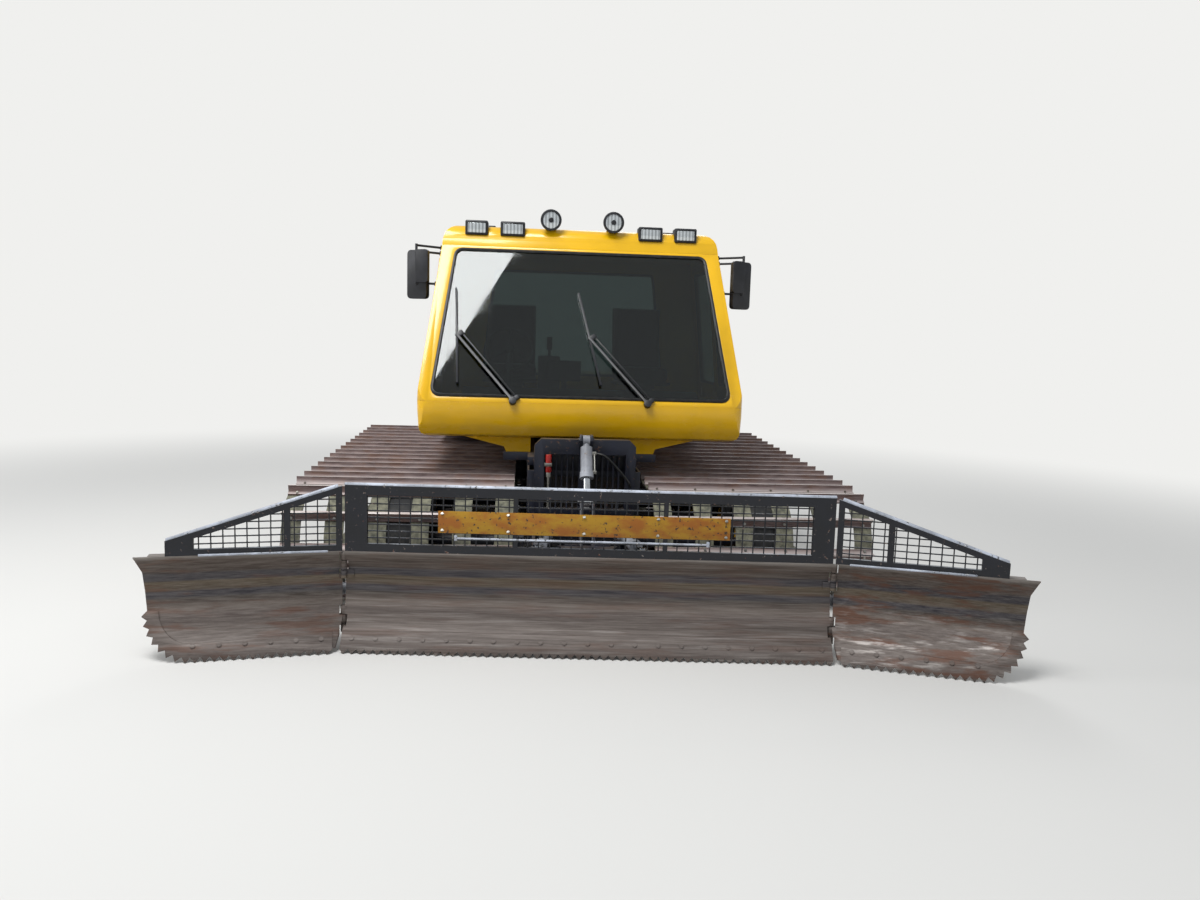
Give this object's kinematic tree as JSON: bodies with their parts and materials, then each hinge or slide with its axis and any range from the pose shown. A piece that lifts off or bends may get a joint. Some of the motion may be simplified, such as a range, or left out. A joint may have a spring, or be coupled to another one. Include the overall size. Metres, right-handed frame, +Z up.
{
  "type": "snow groomer",
  "caption": "Tracked snow groomer: glazed cab over two wide cleated tracks, lifting front blade with guards and folding wings, and a rear snow tiller on a lift frame.",
  "frame": {"origin": "middle of the machine's length and width, on the ground", "axes": "+Z up, -Y the front with the blade, +X to the driver's left hand side as the picture's right"},
  "size_m": [5.1224, 6.9506, 2.9059],
  "materials": {
    "cab_yellow": "gloss yellow paint",
    "guard_navy": "dark navy paint on guard frames and wire",
    "frame_navy": "dark navy paint on hull and frames, dusty",
    "track_steel": "weathered brown-grey steel cleats",
    "blade_steel": "worn blade with scraped steel, rust and navy paint bands",
    "rubber_black": "black rubber",
    "sprocket_black": "black moulded sprocket",
    "rim_yellow": "painted wheel discs",
    "engine_iron": "dark iron block and cooler",
    "exhaust_steel": "heat-stained steel",
    "ram_steel": "silver-grey rams with bright rods",
    "glass_dark": "tinted cab glass",
    "trim_black": "matt black trim",
    "seat_fabric": "black seat fabric",
    "lamp_white": "lamp bodies and lenses",
    "tine_steel": "worn tiller steel"
  },
  "bodies": {
    "chassis": {"tub": "frame_navy", "front_guard": "guard_navy", "engine_block": "engine_iron", "axles": "frame_navy", "road_tyres": "rubber_black", "road_rims": "rim_yellow", "sprockets": "sprocket_black", "left_track": "track_steel", "right_track": "track_steel", "deck_frame": "frame_navy", "exhaust_stack": "exhaust_steel", "cab_lower": "cab_yellow", "cab_front_frame": "cab_yellow", "cab_sides": "cab_yellow", "cab_roof": "cab_yellow", "cab_windows": "glass_dark", "seats": "seat_fabric", "dashboard": "trim_black", "roof_lamps": "lamp_white", "wipers": "trim_black", "mirrors": "trim_black"},
    "hood": {"engine_hood": "cab_yellow"},
    "left_door": {"left_door": "cab_yellow", "left_door_glass": "glass_dark"},
    "right_door": {"right_door": "cab_yellow", "right_door_glass": "glass_dark"},
    "push_frame": {"push_frame": "frame_navy"},
    "swivel_head": {"swivel_head": "frame_navy"},
    "blade": {"blade_panel": "blade_steel", "blade_guard": "guard_navy"},
    "left_wing": {"left_wing": "blade_steel", "left_wing_guard": "guard_navy"},
    "right_wing": {"right_wing": "blade_steel", "right_wing_guard": "guard_navy"},
    "lift_barrel": {"lift_barrel": "ram_steel"},
    "lift_rod": {"lift_rod": "ram_steel"},
    "left_angle_barrel": {"left_angle_barrel": "ram_steel"},
    "left_angle_rod": {"left_angle_rod": "ram_steel"},
    "right_angle_barrel": {"right_angle_barrel": "ram_steel"},
    "right_angle_rod": {"right_angle_rod": "ram_steel"},
    "left_wing_barrel": {"left_wing_barrel": "ram_steel"},
    "left_wing_rod": {"left_wing_rod": "ram_steel"},
    "right_wing_barrel": {"right_wing_barrel": "ram_steel"},
    "right_wing_rod": {"right_wing_rod": "ram_steel"},
    "rear_lift": {"rear_lift": "frame_navy", "tiller_housing": "frame_navy"},
    "tiller_rotor": {"tiller_rotor": "tine_steel"},
    "rear_barrels": {"rear_barrels": "ram_steel"},
    "rear_rods": {"rear_rods": "ram_steel"}
  },
  "joints": [
    {"name": "blade_lift", "type": "hinge", "parent": "chassis", "child": "push_frame", "pos_m": [0.04284, -1.99467, 0.42], "axis": [-1, 0, 0], "range_deg": [-4, 22]},
    {"name": "blade_angle", "type": "hinge", "parent": "push_frame", "child": "swivel_head", "pos_m": [0.04284, -2.63467, 0.365], "axis": [0, 0, 1], "range_deg": [-8, 16]},
    {"name": "blade_tilt", "type": "hinge", "parent": "swivel_head", "child": "blade", "pos_m": [0.02749, -2.85413, 0.36], "axis": [-0.0698, -0.9976, 0], "range_deg": [-6, 6]},
    {"name": "right_wing_fold", "type": "hinge", "parent": "blade", "child": "right_wing", "pos_m": [1.48933, -3.03655, 0.33], "axis": [0, 0, -1], "range_deg": [-22, 10]},
    {"name": "left_wing_fold", "type": "hinge", "parent": "blade", "child": "left_wing", "pos_m": [-1.44551, -2.83133, 0.33], "axis": [0, 0, 1], "range_deg": [-22, 10]},
    {"name": "right_door_swing", "type": "hinge", "parent": "chassis", "child": "right_door", "pos_m": [1.28884, -0.70467, 1.4], "axis": [0.1052, 0, -0.9944], "range_deg": [0, 70]},
    {"name": "left_door_swing", "type": "hinge", "parent": "chassis", "child": "left_door", "pos_m": [-1.20316, -0.70467, 1.4], "axis": [0.1052, 0, 0.9944], "range_deg": [0, 70]},
    {"name": "hood_lift", "type": "hinge", "parent": "chassis", "child": "hood", "pos_m": [0.04284, 1.57533, 1.055], "axis": [-1, 0, 0], "range_deg": [0, 55]},
    {"name": "rear_lift_hinge", "type": "hinge", "parent": "chassis", "child": "rear_lift", "pos_m": [0.04284, 1.94533, 0.45], "axis": [1, 0, 0], "range_deg": [-3, 28]},
    {"name": "tiller_spin", "type": "hinge", "parent": "rear_lift", "child": "tiller_rotor", "pos_m": [0.04284, 2.80533, 0.213], "axis": [1, 0, 0], "range_deg": [-180, 180]},
    {"name": "lift_barrel_turn", "type": "hinge", "parent": "chassis", "child": "lift_barrel", "pos_m": [0.04284, -2.02467, 1.19], "axis": [1, 0, 0], "range_deg": [-3, 16.1]},
    {"name": "lift_rod_slide", "type": "slide", "parent": "lift_barrel", "child": "lift_rod", "axis": [0, -0.4819, -0.8762], "range_m": [-0.13008, 0.02529]},
    {"name": "right_angle_barrel_turn", "type": "hinge", "parent": "push_frame", "child": "right_angle_barrel", "pos_m": [0.29784, -2.18467, 0.56], "axis": [0, 0, 1], "range_deg": [-1.4, 2.7]},
    {"name": "right_angle_rod_slide", "type": "slide", "parent": "right_angle_barrel", "child": "right_angle_rod", "axis": [0.1411, -0.99, 0], "range_m": [-0.09183, 0.04692]},
    {"name": "left_angle_barrel_turn", "type": "hinge", "parent": "push_frame", "child": "left_angle_barrel", "pos_m": [-0.21216, -2.18467, 0.56], "axis": [0, 0, 1], "range_deg": [-1.5, 2.9]},
    {"name": "left_angle_rod_slide", "type": "slide", "parent": "left_angle_barrel", "child": "left_angle_rod", "axis": [-0.1643, -0.9864, 0], "range_m": [-0.04658, 0.09115]},
    {"name": "right_wing_barrel_turn", "type": "hinge", "parent": "blade", "child": "right_wing_barrel", "pos_m": [0.99403, -2.85155, 0.33], "axis": [0, 0, 1], "range_deg": [-2.5, 5.3]},
    {"name": "right_wing_rod_slide", "type": "slide", "parent": "right_wing_barrel", "child": "right_wing_rod", "axis": [0.9858, -0.1682, 0], "range_m": [-0.04597, 0.02199]},
    {"name": "left_wing_barrel_turn", "type": "hinge", "parent": "blade", "child": "left_wing_barrel", "pos_m": [-0.92928, -2.71706, 0.33], "axis": [0, 0, 1], "range_deg": [-5.3, 2.5]},
    {"name": "left_wing_rod_slide", "type": "slide", "parent": "left_wing_barrel", "child": "left_wing_rod", "axis": [-0.9996, -0.0294, 0], "range_m": [-0.04597, 0.02199]},
    {"name": "rear_barrels_turn", "type": "hinge", "parent": "chassis", "child": "rear_barrels", "pos_m": [0.04284, 1.92533, 0.93], "axis": [1, 0, 0], "range_deg": [-1.3, 11.2]},
    {"name": "rear_rods_slide", "type": "slide", "parent": "rear_barrels", "child": "rear_rods", "axis": [0, 0.758, -0.6522], "range_m": [-0.18476, 0.02158]}
  ],
  "couplings": [
    {"joint": "lift_barrel_turn", "follows": "blade_lift", "ratio": 0.72428},
    {"joint": "lift_rod_slide", "follows": "blade_lift", "m_per_rad": -0.33357},
    {"joint": "right_angle_barrel_turn", "follows": "blade_angle", "ratio": 0.15723},
    {"joint": "right_angle_rod_slide", "follows": "blade_angle", "m_per_rad": -0.32168},
    {"joint": "left_angle_barrel_turn", "follows": "blade_angle", "ratio": 0.1733},
    {"joint": "left_angle_rod_slide", "follows": "blade_angle", "m_per_rad": 0.31925},
    {"joint": "right_wing_barrel_turn", "follows": "right_wing_fold", "ratio": -0.23342},
    {"joint": "right_wing_rod_slide", "follows": "right_wing_fold", "m_per_rad": 0.11451},
    {"joint": "left_wing_barrel_turn", "follows": "left_wing_fold", "ratio": 0.23342},
    {"joint": "left_wing_rod_slide", "follows": "left_wing_fold", "m_per_rad": 0.11451},
    {"joint": "rear_barrels_turn", "follows": "rear_lift_hinge", "ratio": 0.39567},
    {"joint": "rear_rods_slide", "follows": "rear_lift_hinge", "m_per_rad": -0.37399}
  ]
}
